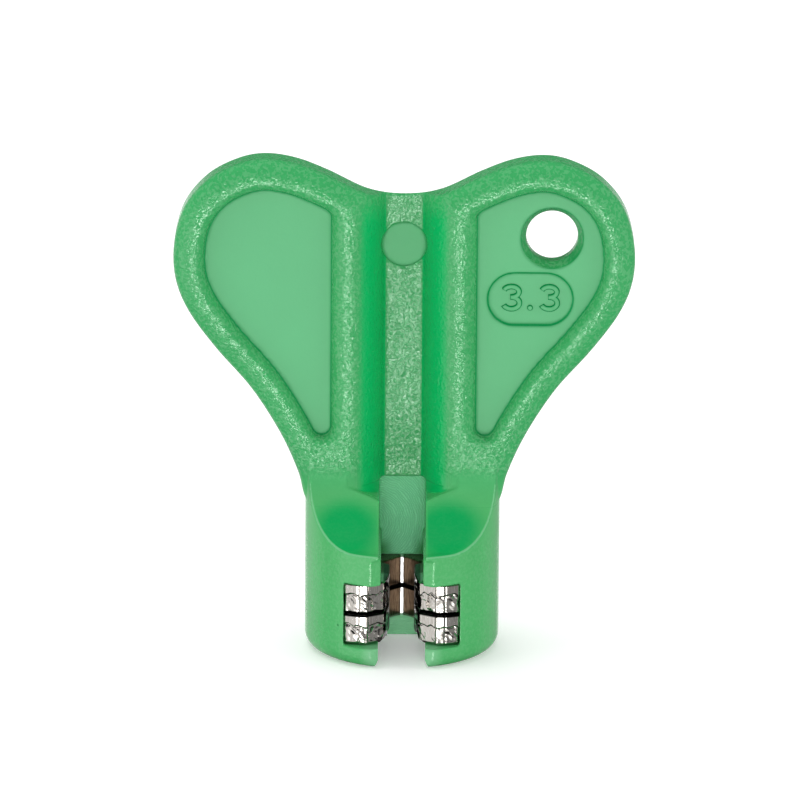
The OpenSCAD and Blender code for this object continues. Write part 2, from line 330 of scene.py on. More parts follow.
def handleCuts():
    s, h = slotLook, handleLook
    far, half, mouth, wall = h["radius"] + overrun, s["slotHalf"], s["mouthHalf"], s["wall"]
    cuts = [channelCut(far)]
    cuts.append(boxCut("slot", (-half, -far, s["mouthTop"]), (half, wall, s["top"] + meet)))
    cuts.append(boxCut("mouth", (-mouth, -far, -shortOverrun), (mouth, wall, s["mouthTop"] + meet)))
    cuts.append(boxCut("footSlot", (-half, -far, -shortOverrun), (half, wall, s["seatLow"] + meet)))
    wide, low = half + s["leadIn"], s["leadInHeight"]
    leadIn = [(-wide, -shortOverrun), (wide, -shortOverrun), (wide, 0), (half, low), (-half, low),
              (-wide, 0)]
    cuts.append(prism("leadIn", leadIn, -far, wall, 1))
    outer = mouth + s["flat"]
    surface = math.sqrt(h["radius"] ** 2 - outer ** 2)
    inner = surface - s["flat"] / 2
    flats = [(-mouth, -inner), (mouth, -inner), (outer, -surface), (outer, -far), (-outer, -far),
             (-outer, -surface)]
    cuts.append(prism("flats", flats, -shortOverrun, s["mouthTop"], 2))
    window = s["windowHalf"]
    cuts.append(boxCut("windows", (-window, -far, s["seatLow"]), (window, -s["windowIn"], s["windowTop"])))
    seat = plateRim(plateLook["half"])
    cuts.append(prism("seat", seat + [(-x, y) for x, y in seat[::-1]], s["seatLow"], s["seatHigh"], 2))
    return cuts


holeLook = {"x": 16.0, "z": 46.4, "bore": 2.8, "lip": 3.4, "lipDepth": 1.1, "lipRound": (0.1, 0.25),
            "rearLip": 0.35}
markLook = {"x": 13.7, "z": 39.55, "halfLength": 4.7, "halfWidth": 3.0, "depth": 0.3}
ejectorLook = {"z": 44.95, "radius": 2.5, "depth": 0.12, "front": 1.0}


def holeCut():
    o, floor = holeLook, handleLook["thick"] - handleLook["pocket"]
    rear, (inward, down) = o["bore"] + o["rearLip"], o["lipRound"]
    return roundCut("hole", o["x"], o["z"], [
        (0, -floor - shortOverrun), (rear, -floor - shortOverrun), (rear, -floor),
        (o["bore"], -floor + o["rearLip"]), (o["bore"], floor - o["lipDepth"]),
        (o["lip"] - inward, floor - down), (o["lip"], floor), (o["lip"], floor + shortOverrun),
        (0, floor + shortOverrun)])


def markCut():
    m, floor = markLook, handleLook["thick"] - handleLook["pocket"]
    r, straight = m["halfWidth"], m["halfLength"] - m["halfWidth"]
    loop = []
    for side, start in ((1, -90), (-1, 90)):
        for a in arc(start, start + 180, counts["oval"]):
            loop.append((m["x"] + side * straight + r * math.cos(a), m["z"] + r * math.sin(a)))
    return prism("markOval", loop, -floor - shortOverrun, -floor + m["depth"], 1)


def ejectorCut():
    e = ejectorLook
    r, back = e["radius"], -slotLook["setback"] - e["depth"]
    return roundCut("ejectorMark", 0, e["z"], [(0, back), (r, back), (r, e["front"]), (0, e["front"])])


# Jaw plates: two alike, one on the other, blanked with a smooth band above a torn one.
plateLook = {
    "half": 6.3, "gap": 1.35, "back": 6.4, "low": 2.25, "thick": 3.5, "flats": 3.3, "relief": 0.2,
    "nose": [(1.35, 3.78), (1.53, 5.5), (1.71, 7.0), (1.95, 7.55), (3.5, 8.5), (3.58, 8.44), (3.68, 8.72),
             (4.62, 8.76), (4.72, 8.58), (4.84, 8.66), (6.2, 8.2), (6.3, 8.1)],
    "spacing": 0.1, "soften": 5, "rows": 60, "topEdge": (0.15, 0.18), "lowEdge": (0.36, 0.42),
    "band": 0.37, "bandWave": 0.085, "bandFacet": (0.55, 1), "tear": 0.05, "tearFade": 0.02,
    "coarse": 0.13, "coarseFacet": (0.8, 0.85), "coarseLift": 0.6, "fine": 0.045, "fineFacet": (0.3, 0.33),
    "groove": 0.1, "grooveWidth": 0.024, "plainUntil": 3.0, "plainFade": 2.0, "ease": 0.2, "ripple": 0.5,
    "upperSeed": 11, "lowerSeed": 23,
}


def plateRim(half):
    p = plateLook
    rim = [(x, -d) for x, d in p["nose"]]
    rim += [(half * math.cos(a), p["back"] * math.sin(a)) for a in arc(0, 90, counts["plateBack"])]
    return rim


# Seeded field of flat facets: random heights on a slightly warped lattice, joined by triangles.
facetLook = {"columns": 97, "rows": 31, "warp": 0.35, "turns": (1.7, 1.3)}


def facetField(seed, wide, high):
    columns, rows, warp = facetLook["columns"], facetLook["rows"], facetLook["warp"]
    turnA, turnB = facetLook["turns"]
    table = np.random.RandomState(seed).uniform(-1, 1, (columns, rows))

    def value(u, v):
        a = u / wide + warp * np.sin(turnA * v + u)
        b = v / high + warp * np.sin(turnB * u + seed)
        i, j = np.floor(a).astype(int), np.floor(b).astype(int)
        fa, fb = a - i, b - j
        i0, i1, j0, j1 = i % columns, (i + 1) % columns, j % rows, (j + 1) % rows
        h00, h10, h01, h11 = table[i0, j0], table[i1, j0], table[i0, j1], table[i1, j1]
        return np.where(fa + fb < 1, h00 + (h10 - h00) * fa + (h01 - h00) * fb,
                        h11 + (h01 - h11) * (1 - fa) + (h10 - h11) * (1 - fb))
    return value


# Outline of a plate with close, slightly eased points, and the way out at each of them.
def plateOutline():
    p = plateLook
    corner, relief = p["flats"] / math.sqrt(2), p["relief"]
    right = [(relief, corner - relief), (corner, 0), (p["gap"], p["gap"] - corner)]
    right += plateRim(p["half"])[:-1]
    loop = np.array(right + [(0, p["back"])] + [(-x, y) for x, y in right[::-1]])
    dense = []
    for i in range(len(loop)):
        a, b = loop[i], loop[(i + 1) % len(loop)]
        n = max(1, int(np.linalg.norm(b - a) / p["spacing"]))
        dense += [a + (b - a) * k / n for k in range(n)]
    dense, ease = np.array(dense), p["ease"]
    dense = ease * np.roll(dense, 1, axis=0) + (1 - 2 * ease) * dense + ease * np.roll(dense, -1, axis=0)
    area = np.sum(dense[:, 0] * np.roll(dense[:, 1], -1) - np.roll(dense[:, 0], -1) * dense[:, 1])
    out = normalsOf(dense) * (-1 if area > 0 else 1)
    reach = p["soften"]  # the average keeps inset corners from crossing
    out = sum(np.roll(out, k, axis=0) for k in range(-reach, reach + 1)) / (2 * reach + 1)
    return dense, out


def makePlate(name, low, seed):
    p = plateLook
    dense, out = plateOutline()
    along = np.cumsum(np.linalg.norm(dense - np.roll(dense, 1, axis=0), axis=1))
    level = along * 0
    border = p["band"] + p["bandWave"] * facetField(seed, *p["bandFacet"])(along, level)
    coarse, fine = facetField(seed + 1, *p["coarseFacet"]), facetField(seed + 2, *p["fineFacet"])
    front = np.clip((-dense[:, 1] - p["plainUntil"]) / p["plainFade"], 0, 1)
    rings = []
    for t in np.linspace(0, 1, p["rows"]):
        below, above = p["thick"] * t, p["thick"] * (1 - t)
        torn = np.clip((t - border) / p["tearFade"], 0, 1)
        rough = p["coarse"] * (coarse(along, level + above) + p["coarseLift"])
        rough = rough + p["fine"] * fine(along, level + above)
        line = p["groove"] * np.exp(-((t - border) / p["grooveWidth"]) ** 2)
        ripple = p["fine"] * p["ripple"] * (1 - torn) * fine(along, level)
        inset = front * (torn * (p["tear"] + rough) + line + ripple)
        for height, (high, deep) in ((below, p["topEdge"]), (above, p["lowEdge"])):
            if height < high:
                inset = inset + deep * (1 - height / high)
        ring = dense - np.maximum(inset, 0)[:, None] * out
        rings.append(np.stack([ring[:, 0], ring[:, 1], np.full(len(ring), low + above)], axis=1))
    obj = loft(name, rings)
    fixNormals(obj)
    return obj


# Raised numerals in the recessed oval: two figures and a point.
numeralLook = {
    "middle": (13.7, 39.68), "width": 2.4, "height": 3.15, "pitch": 4.1, "stroke": 0.32, "rise": 0.26,
    "lowerBow": 0.93, "bowShares": (0.235, 0.265), "upperShare": 0.94, "tipAngle": 160, "waistAngle": 98,
    "point": (-0.02, -1.12), "pointRadius": 0.31,
    "section": [(1.0, -0.05), (0.95, 0.4), (0.75, 0.8), (0.45, 1.0), (-0.45, 1.0), (-0.75, 0.8),
                (-0.95, 0.4), (-1.0, -0.05)],
    "pointSection": [(1.0, -0.05), (1.0, 0.6), (0.85, 0.9), (0.55, 1.0)],
}


# Middle lines of the two bows of a figure 3, each from its left end round to the other.
def threeBows(cx, cz, w, h):
    n = numeralLook
    tip, waist = n["tipAngle"], n["waistAngle"]
    r1, r2 = h * n["bowShares"][0], h * n["bowShares"][1]
    top, low, half = cz + h / 2 - r1, cz - h / 2 + r2, n["upperShare"] * w / 2
    upper = [(cx + half * math.cos(a), top + r1 * math.sin(a))
             for a in arc(tip, -waist, counts["upperBow"])]
    lower = [(cx + (w / 2) * math.cos(a), low + r2 * math.sin(a))
             for a in arc(waist, -tip, counts["lowerBow"])]
    return np.array(upper), np.array(lower)


def makeNumerals():
    n, floor = numeralLook, handleLook["thick"] - handleLook["pocket"] - markLook["depth"]
    verts, faces = [], []
    cx, cz = n["middle"]
    width, height = n["width"] - 2 * n["stroke"], n["height"] - 2 * n["stroke"]
    bows = [bow for side in (-1, 1) for bow in threeBows(cx + side * n["pitch"] / 2, cz, width, height)]
    k = len(n["section"])
    for number, path in enumerate(bows):
        rise = n["rise"] * (n["lowerBow"] if number % 2 else 1.0)  # keeps the bows' tops off one plane
        step = np.gradient(path, axis=0)
        side = np.stack([-step[:, 1], step[:, 0]], axis=1) / np.linalg.norm(step, axis=1)[:, None]
        base, end = len(verts), len(verts) + (len(path) - 1) * k
        for q, w in zip(path, side):
            for across, up in n["section"]:
                at = q + w * across * n["stroke"]
                verts.append((at[0], -(floor + up * rise), at[1]))
        for row in range(base, end, k):
            for j in range(k):
                a, b = row + j, row + (j + 1) % k
                faces.append((a, b, b + k, a + k))
        faces.append(tuple(range(base, base + k)))
        faces.append(tuple(range(end, end + k)))
    base, px, pz, around = len(verts), cx + n["point"][0], cz + n["point"][1], counts["point"]
    for share, up in n["pointSection"]:
        r = n["pointRadius"] * share
        for i in range(around):
            a = 2 * math.pi * i / around
            verts.append((px + r * math.cos(a), -(floor + up * n["rise"]), pz + r * math.sin(a)))
    end = base + (len(n["pointSection"]) - 1) * around
    for row in range(base, end, around):
        for i in range(around):
            a, b = row + i, row + (i + 1) % around
            faces.append((a, b, b + around, a + around))
    faces.append(tuple(range(base, base + around)))
    faces.append(tuple(range(end, end + around)))
    obj = newObject("sizeNumerals", verts, faces)
    fixNormals(obj)
    return obj


def finishPiece(obj, material):
    for v in obj.data.vertices:
        v.co *= toMetres
    obj.data.materials.clear()
    obj.data.materials.append(material)
    for poly in obj.data.polygons:
        poly.use_smooth = True
    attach(obj, "root")


# Short calls for building a node tree.
class Nodes:
    def __init__(self, tree):
        self.tree = tree

    def add(self, kind, **values):
        node = self.tree.nodes.new(kind)
        for key, value in values.items():
            setattr(node, key, value)
        return node

    def put(self, socket, value):
        if isinstance(value, bpy.types.NodeSocket):
            self.tree.links.new(value, socket)
        else:
            socket.default_value = value

    def fill(self, node, values):
        for name, value in values.items():
            self.put(node.inputs[name], value)

    def math(self, operation, a, b=0.0):
        node = self.add("ShaderNodeMath", operation=operation)
        self.put(node.inputs[0], a)
        self.put(node.inputs[1], b)
        return node.outputs[0]

    # 0 at low and 1 at high, smooth between; low may be the larger.
    def step(self, value, low, high):
        node = self.add("ShaderNodeMapRange", interpolation_type="SMOOTHSTEP")
        start, end = (0.0, 1.0) if low <= high else (1.0, 0.0)
        self.fill(node, {"Value": value, "From Min": min(low, high), "From Max": max(low, high),
                         "To Min": start, "To Max": end})
        return node.outputs[0]

    def times(self, *values):
        out = values[0]
        for v in values[1:]:
            out = self.math("MULTIPLY", out, v)
        return out

    def most(self, *values):
        out = values[0]
        for v in values[1:]:
            out = self.math("MAXIMUM", out, v)
        return out

    def without(self, value):
        return self.math("SUBTRACT", 1.0, value)

    def reach(self, a, b):
        return self.math("SQRT", self.math("ADD", self.times(a, a), self.times(b, b)))

    def mix(self, factor, a, b):
        node = self.add("ShaderNodeMix", data_type="RGBA")
        self.put(node.inputs[0], factor)
        self.put(node.inputs[6], a)
        self.put(node.inputs[7], b)
        return node.outputs[2]

    def blend(self, factor, a, b):
        node = self.add("ShaderNodeMix", data_type="FLOAT")
        self.put(node.inputs[0], factor)
        self.put(node.inputs[2], a)
        self.put(node.inputs[3], b)
        return node.outputs[0]

    def split(self, vector):
        node = self.add("ShaderNodeSeparateXYZ")
        self.put(node.inputs[0], vector)
        return node.outputs

    def scaled(self, vector, factor):
        node = self.add("ShaderNodeVectorMath", operation="SCALE")
        self.fill(node, {0: vector, "Scale": factor})
        return node.outputs[0]

    def mapped(self, vector, rotation, scale):
        node = self.add("ShaderNodeMapping")
        self.fill(node, {"Vector": vector, "Rotation": rotation, "Scale": scale})
        return node.outputs[0]

    def noise(self, vector, scale, detail=2.0, roughness=0.5, distortion=0.0):
        node = self.add("ShaderNodeTexNoise")
        self.fill(node, {"Vector": vector, "Scale": scale, "Detail": detail, "Roughness": roughness,
                         "Distortion": distortion})
        return node.outputs[0]

    def cells(self, vector, scale):
        node = self.add("ShaderNodeTexVoronoi", feature="F1")
        self.fill(node, {"Vector": vector, "Scale": scale})
        return node.outputs[0]

    def bump(self, height, strength, distance):
        node = self.add("ShaderNodeBump")
        self.fill(node, {"Height": height, "Strength": strength, "Distance": distance})
        return node.outputs[0]

    def group(self, tree, **values):
        node = self.add("ShaderNodeGroup", node_tree=tree)
        self.fill(node, values)
        return node.outputs


def newGroup(name, inputs, outputs):
    tree = bpy.data.node_groups.new(name, "ShaderNodeTree")
    for label, kind in inputs:
        tree.interface.new_socket(label, in_out="INPUT", socket_type="NodeSocket" + kind)
    for label in outputs:
        tree.interface.new_socket(label, in_out="OUTPUT", socket_type="NodeSocketFloat")
    n = Nodes(tree)
    return n, n.add("NodeGroupInput").outputs, n.add("NodeGroupOutput").inputs


# Spark-eroded grain of a mould: pits and bright tops 0.3 to 0.4 mm across; the pits are real bump, the tops
# get a painted highlight.
grainLook = {"wave": (2.6, 1.5, 0.55, 0.3), "waveShare": 1.25, "pitScale": 3.2, "pitShare": 0.35,
             "paintedGlint": (0.76, 0.92)}


def grainGroup():
    k = grainLook
    inputs = [("Position", "Vector"), ("Amount", "Float")]
    n, given, out = newGroup("mouldGrain", inputs, ["Height", "PaintedGlint"])
    wave, pits = n.noise(given[0], *k["wave"]), n.cells(given[0], k["pitScale"])
    height = n.math("ADD", n.times(wave, k["waveShare"]), n.times(pits, k["pitShare"]))
    n.put(out[0], n.times(height, given[1]))
    # Mask of the grain tops, where the painted highlight goes.
    n.put(out[1], n.times(n.step(height, *k["paintedGlint"]), given[1]))
    return n.tree


# Faint handling marks: fine scratches, dust specks and soft cloudiness.
wearLook = {"turn": (0.0, 0.6, 0.0), "stretch": (0.25, 1.0, 4.0), "scratch": (1.6, 3.0, 0.7, 0.6),
            "scratchEdge": (0.66, 0.8), "speckScale": 0.2, "speckEdge": (0.04, 0.025),
            "cloud": (0.12, 3.0, 0.55)}


def wearGroup():
    k = wearLook
    n, given, out = newGroup("handlingWear", [("Position", "Vector")], ["Scratch", "Speck", "Cloud"])
    drawn = n.mapped(given[0], k["turn"], k["stretch"])
    n.put(out[0], n.step(n.noise(drawn, *k["scratch"]), *k["scratchEdge"]))
    n.put(out[1], n.step(n.cells(given[0], k["speckScale"]), *k["speckEdge"]))
    n.put(out[2], n.noise(given[0], *k["cloud"]))
    return n.tree


grain, wear = grainGroup(), wearGroup()


def newMaterial(name):
    mat = bpy.data.materials.new(name)
    mat.use_nodes = True
    return mat, Nodes(mat.node_tree), mat.node_tree.nodes["Principled BSDF"].inputs


# Position on the piece in millimetres, and its distance from the middle plane.
def readPlace(n):
    p = n.scaled(n.add("ShaderNodeTexCoord").outputs["Object"], 1 / toMetres)
    x, y, z = n.split(p)
    return SimpleNamespace(p=p, x=x, y=y, z=z, side=n.math("ABSOLUTE", x))


# Green plastic. Frost is the grained colour of the wings, body that of the barrel.
plasticLook = {
    # The core colour is painted shade, a darker oval on each shoulder scoop.
    # The line colour is painted shade at the foot of steep pocket walls and along the numerals.
    # The pale highlight colour is a painted highlight, used on grain tops, along the barrel rim and on the
    # lips.
    # The wall colour goes on the channel walls, brightened as painted light against their shade.
    "frost": (0.048, 0.41, 0.125), "body": (0.085, 0.475, 0.15), "wall": (0.001, 0.47, 0.122),
    "core": (0.001, 0.395, 0.098), "paintedGlint": (0.22, 0.6, 0.3), "line": (0.001, 0.3, 0.08),
    # The low wall colour is brightened as painted light on the shaded wall under the plates.
    # The panel colour is brightened as painted light on the panel behind the slot, against the slot's
    # shade.
    # The pocket colour is paler on the smooth pocket floors and ejector disc, standing in for their sheen
    # as a painted reflection.
    "pocket": (0.085, 0.435, 0.175), "panel": (0.28, 0.9, 0.5), "lowWallLight": (0.36, 0.96, 0.52),
    "speck": (0.0, 0.12, 0.03), "paintedGlintShare": 0.25, "rimHighlightShare": 0.7, "discSheenShare": 0.8, "lipLightShare": 0.8,
    "speckShare": 0.55, "shadeLineShares": (0.4, 0.85), "panelTones": (0.7, 1.0), "clouds": (0.94, 1.06),
    "neckGrain": 0.5, "barrelGrain": 0.5, "leastGrain": 0.08, "calmShare": 0.94,
    "shoulderShadeMiddle": (-0.5, 5.5, 14.7), "shoulderShadeStretch": (0.3, 0.42), "pocketMiddle": (14.5, 42.0),
    "swirlMove": (3.4, 0.0, -13.0), "roughGrain": 0.18, "roughSmooth": 0.22, "roughPocket": 0.46,
    "roughFade": 0.6, "scratchRough": 0.08, "grainDepth": 0.1, "swirlDepth": 0.25, "scratchDepth": -0.04,
    "refraction": 1.53,
}
swirlLook = {"Scale": 1.3, "Distortion": 7.0, "Detail": 3.0, "Detail Scale": 0.8}

# Where a finish of the plastic starts and where it is full: millimetres, or a share of the normal.
plasticZones = {
    "flat": (0.75, 0.96), "pocketSide": (6.6, 7.3), "pocketDepth": (1.72, 1.58), "pocketFoot": (20.0, 21.0),
    "discEdge": (2.5, 2.38), "discFront": (0.9, 1.1), "discBack": (2.0, 1.7),
    "wallFront": (2.25, 2.45), "wallBack": (3.1, 2.9), "wallSide": (2.75, 2.6),
    "panelTop": (18.9, 18.7), "panelFoot": (9.2, 9.6), "lowWallTop": (9.6, 9.2),
    "bareTop": (11.6, 9.8), "bareSide": (0.9, 2.3),
    "grainFoot": (19.0, 20.8), "neckTop": (27.0, 23.0), "neckFoot": (19.8, 20.8),
    "barrelTop": (14.5, 12.6), "barrelUp": (0.7, 0.3),
    "endSide": (4.6, 4.4), "endFoot": (18.5, 18.7), "endDepth": (2.6, 2.2),
    "shoulderShadeEdge": (1.5, 0.6), "coreSide": (2.4, 2.9), "coreUp": (0.05, 0.3), "coreFront": (-2.6, -3.0),
    "channelAcross": (0.3, 0.6), "channelSide": (5.4, 4.1), "channelFoot": (17.0, 17.5),
    "channelTop": (52.0, 47.5), "rimEdge": (10.44, 10.56), "rimUp": (0.1, 0.3), "rimFoot": (12.2, 12.6),
    "rimTop": (20.0, 19.0), "bodyTop": (20.5, 16.5), "steep": (0.97, 0.82), "shadeLineDepth": (1.85, 1.6),
    "inward": (0.5, -1.0), "markSide": (5.4, 5.0), "markTall": (3.7, 3.3), "holeEdge": (3.2, 3.6),
    "lipSide": (4.8, 3.4), "lipTop": (2.9, 2.1), "lipFront": (-7.6, -8.4),
    "fadeDepth": (2.7, 2.9), "fadeTop": (21.2, 20.2), "fadeFoot": (16.0, 19.4), "fadeSide": (2.6, 2.8),
    "fadeBack": (2.6, 2.8),
}


def zone(n, value, name):
    return n.step(value, *plasticZones[name])


# Masks of the smooth parts and of the coloured ones.
def plasticMasks(n, at):
    k = plasticLook
    depth = n.math("ABSOLUTE", at.y)
    nx, ny, nz = n.split(n.add("ShaderNodeNewGeometry").outputs["Normal"])
    facing = n.math("ABSOLUTE", ny)
    inPocket = n.times(zone(n, at.side, "pocketSide"), zone(n, at.z, "pocketFoot"))
    pocket = n.times(inPocket, zone(n, depth, "pocketDepth"), zone(n, facing, "flat"))
    fromMark = n.reach(at.x, n.math("SUBTRACT", at.z, ejectorLook["z"]))
    disc = n.times(zone(n, fromMark, "discEdge"), zone(n, at.y, "discFront"), zone(n, at.y, "discBack"))
    wall = n.times(zone(n, at.y, "wallFront"), zone(n, at.y, "wallBack"), zone(n, at.side, "wallSide"))
    panel = n.times(wall, zone(n, at.z, "panelTop"))

    neck = n.times(zone(n, at.z, "neckTop"), zone(n, at.z, "neckFoot"), k["neckGrain"])
    wings = n.math("ADD", zone(n, at.z, "grainFoot"), neck)
    end = n.times(zone(n, at.side, "endSide"), zone(n, at.z, "endFoot"), zone(n, depth, "endDepth"))
    barrel = n.times(zone(n, at.z, "barrelTop"), zone(n, nz, "barrelUp"), k["barrelGrain"])
    amount = n.most(wings, end, barrel, k["leastGrain"])
    for smooth in (pocket, disc, panel):
        amount = n.times(amount, n.without(n.times(smooth, k["calmShare"])))

    # Shoulder core: a darker oval on each shoulder scoop, painted as shade.
    coreX, coreSide, coreZ = k["shoulderShadeMiddle"]
    across = n.math("SUBTRACT", n.math("ABSOLUTE", n.math("SUBTRACT", at.x, coreX)), coreSide)
    across, up = n.times(across, k["shoulderShadeStretch"][0]), n.math("SUBTRACT", at.z, coreZ)
    core = zone(n, n.reach(across, n.times(up, k["shoulderShadeStretch"][1])), "shoulderShadeEdge")
    core = n.times(core, zone(n, at.side, "coreSide"), zone(n, nz, "coreUp"), zone(n, at.y, "coreFront"))
    # Channel walls: painted brighter as painted light against their shade.
    channel = n.times(zone(n, n.math("ABSOLUTE", nx), "channelAcross"), zone(n, at.side, "channelSide"),
                      zone(n, at.z, "channelFoot"), zone(n, at.z, "channelTop"))
    # Rim: a thin line along the barrel's upper rim edge, painted pale as a highlight.
    rim = n.times(zone(n, n.reach(at.x, at.y), "rimEdge"), zone(n, nz, "rimUp"),
                  zone(n, at.z, "rimFoot"), zone(n, at.z, "rimTop"))

    middleX, middleZ = k["pocketMiddle"]
    outward = n.times(n.math("SUBTRACT", at.side, middleX), nx, n.math("SIGN", at.x))
    outward = n.math("ADD", outward, n.times(n.math("SUBTRACT", at.z, middleZ), nz))
    markSide = n.math("ABSOLUTE", n.math("SUBTRACT", at.side, markLook["x"]))
    markTall = n.math("ABSOLUTE", n.math("SUBTRACT", at.z, markLook["z"]))
    marks = n.times(zone(n, markSide, "markSide"), zone(n, markTall, "markTall"))
    # Line: painted shade at the foot of the steep pocket walls and along the numerals' sides, weaker near
    # the hole.
    line = n.times(zone(n, facing, "steep"), zone(n, depth, "shadeLineDepth"), inPocket,
                   n.most(zone(n, outward, "inward"), marks))
    fromHole = n.reach(n.math("SUBTRACT", at.side, holeLook["x"]), n.math("SUBTRACT", at.z, holeLook["z"]))
    line = n.times(line, n.blend(zone(n, fromHole, "holeEdge"), *k["shadeLineShares"]))
    # Lip: the front faces low beside the mouth, painted paler as painted light.
    lip = n.times(zone(n, at.side, "lipSide"), zone(n, at.z, "lipTop"), zone(n, at.y, "lipFront"))
    beside = n.most(zone(n, at.side, "fadeSide"), zone(n, at.y, "fadeBack"))
    fade = n.times(zone(n, depth, "fadeDepth"), zone(n, at.z, "fadeTop"), zone(n, at.z, "fadeFoot"), beside)
    return SimpleNamespace(pocket=pocket, disc=disc, wall=wall, panel=panel, amount=amount, core=core,
                           channel=channel, rim=rim, line=line, lip=lip, fade=fade)


# Rings left by the cutter on the panel behind the slot, which is painted pale as painted light.
def cutterSwirl(n, p):
    moved = n.add("ShaderNodeVectorMath", operation="ADD")
    n.fill(moved, {0: p, 1: plasticLook["swirlMove"]})
    rings = n.add("ShaderNodeTexWave", wave_type="RINGS", rings_direction="Y")
    n.fill(rings, {"Vector": moved.outputs[0], **swirlLook})
    return rings.outputs[1]


def makePlastic():
    k = plasticLook
    mat, n, b = newMaterial("greenPlastic")
    at = readPlace(n)
    mask = plasticMasks(n, at)
    swirl = cutterSwirl(n, at.p)
    grainOut = n.group(grain, Position=at.p, Amount=mask.amount)
    wearOut = n.group(wear, Position=at.p)
    # Painted highlight on the grain tops, kept off the channel walls.
    paintedGlints = n.times(grainOut["PaintedGlint"], n.without(mask.channel), k["paintedGlintShare"])
    # Paler colour on the pocket floors and disc as painted sheen.
    pocketSheen = n.most(mask.pocket, n.times(mask.disc, k["discSheenShare"]))
    # Wall under the plates: painted brighter as painted light against its shade.
    lowWallLight = n.times(mask.wall, zone(n, at.z, "lowWallTop"))
    # Panel behind the slot: painted light that brightens it against the slot's shade, varied by the cutter
    # rings and kept off the bare mask.
    bare = n.times(zone(n, at.z, "bareTop"), zone(n, at.side, "bareSide"))
    cut = n.times(mask.panel, zone(n, at.z, "panelFoot"), n.without(bare), n.blend(swirl, *k["panelTones"]))
    colour = (*k["frost"], 1)
    for share, name in ((zone(n, at.z, "bodyTop"), "body"), (mask.channel, "wall"), (mask.core, "core"),
                        (paintedGlints, "paintedGlint"), (n.times(mask.rim, k["rimHighlightShare"]), "paintedGlint"),
                        (pocketSheen, "pocket"), (mask.line, "line"),
                        (n.times(mask.lip, k["lipLightShare"]), "paintedGlint"), (lowWallLight, "lowWallLight"), (cut, "panel")):
        colour = n.mix(share, colour, (*k[name], 1))
    toned = n.scaled(colour, n.blend(wearOut["Cloud"], *k["clouds"]))
    specks = n.times(wearOut["Speck"], k["speckShare"])
    n.put(b["Base Color"], n.mix(specks, toned, (*k["speck"], 1)))
    calm = n.most(mask.pocket, mask.disc, mask.panel)
    rough = n.blend(calm, n.blend(mask.amount, k["roughSmooth"], k["roughGrain"]), k["roughPocket"])
    rough = n.blend(mask.fade, rough, k["roughFade"])
    n.put(b["Roughness"], n.math("ADD", rough, n.times(wearOut["Scratch"], k["scratchRough"])))
    height = n.math("ADD", grainOut["Height"], n.times(mask.panel, swirl, k["swirlDepth"]))
    height = n.math("ADD", height, n.times(wearOut["Scratch"], k["scratchDepth"]))
    n.put(b["Normal"], n.bump(height, 1.0, k["grainDepth"] * toMetres))
    b["IOR"].default_value = k["refraction"]
    return mat


# Jaw steel: bright outside; in the socket browned and painted darker as painted shade; painted near black
# as shade in the gap between the arms and where the plates meet; a painted highlight on the V's corner.
steelLook = {
    # The shade and socket colours are a real brown tint, painted darker as painted shade.
    "base": (0.66, 0.64, 0.6), "dull": (0.5, 0.47, 0.43), "shade": (0.12, 0.095, 0.073),
    # The corner colour is a painted highlight, near white on the V's corner.
    # The slot colour is painted shade, near black in the gap between the arms.
    "socket": (0.32, 0.258, 0.2), "slot": (0.03, 0.03, 0.026), "corner": (0.9, 0.88, 0.86),
    # The near-black colour where the plates meet is painted shade.
    "jointShade": (0.01, 0.01, 0.01), "streakStretch": (6.0, 6.0, 0.6), "streak": (1.4, 4.0, 0.65),
    "rough": 0.14, "roughInside": 0.34, "scratchRough": 0.1, "fine": (5.0, 2.0), "streakDepth": 0.8,
    "strength": 0.25, "depth": 0.02,
}
steelZones = {
    "insideSide": (2.7, 2.4), "insideFront": (-5.2, -3.6), "gapShadeSide": (2.1, 1.9),
    "gapShadeFront": (-7.3, -6.9), "gapShadeBack": (-0.8, -1.1), "cornerHighlightSide": (0.2, 0.15),
    "cornerHighlightBack": (1.6, 1.9), "brown": (0.3, 0.7), "bright": (0.35, 0.75), "jointShade": (0.3, 0.12),
}


def makeSteel():
    k, w = steelLook, steelZones
    mat, n, b = newMaterial("jawSteel")
    at = readPlace(n)
    inside = n.times(n.step(at.side, *w["insideSide"]), n.step(at.y, *w["insideFront"]))
    # Gap between the arms: painted near black as painted shade.
    slot = n.times(n.step(at.side, *w["gapShadeSide"]), n.step(at.y, *w["gapShadeFront"]),
                   n.step(at.y, *w["gapShadeBack"]))
    # The V's corner: painted near white as a painted highlight.
    corner = n.times(inside, n.step(at.side, *w["cornerHighlightSide"]), n.step(at.y, *w["cornerHighlightBack"]))
    lines = n.noise(n.mapped(at.p, (0.0, 0.0, 0.0), k["streakStretch"]), *k["streak"])
    wearOut = n.group(wear, Position=at.p)
    # Socket steel: a real brown tint, painted darker as painted shade, streaked between two tones.
    brown = n.mix(n.step(lines, *w["brown"]), (*k["shade"], 1), (*k["socket"], 1))
    metal = n.mix(n.step(lines, *w["bright"]), (*k["dull"], 1), (*k["base"], 1))
    colour = n.mix(slot, n.mix(inside, metal, brown), (*k["slot"], 1))
    colour = n.mix(corner, colour, (*k["corner"], 1))
    # Where the plates meet: painted near black as painted shade.
    jointShade = n.math("ABSOLUTE", n.math("SUBTRACT", at.z, plateLook["low"] + plateLook["thick"]))
    n.put(b["Base Color"], n.mix(n.step(jointShade, *w["jointShade"]), colour, (*k["jointShade"], 1)))
    b["Metallic"].default_value = 1.0
    rough = n.blend(inside, k["rough"], k["roughInside"])
    n.put(b["Roughness"], n.math("ADD", rough, n.times(wearOut["Scratch"], k["scratchRough"])))
    height = n.math("ADD", n.times(lines, k["streakDepth"]), n.noise(at.p, *k["fine"]))
    n.put(b["Normal"], n.bump(height, k["strength"], k["depth"] * toMetres))
    return mat


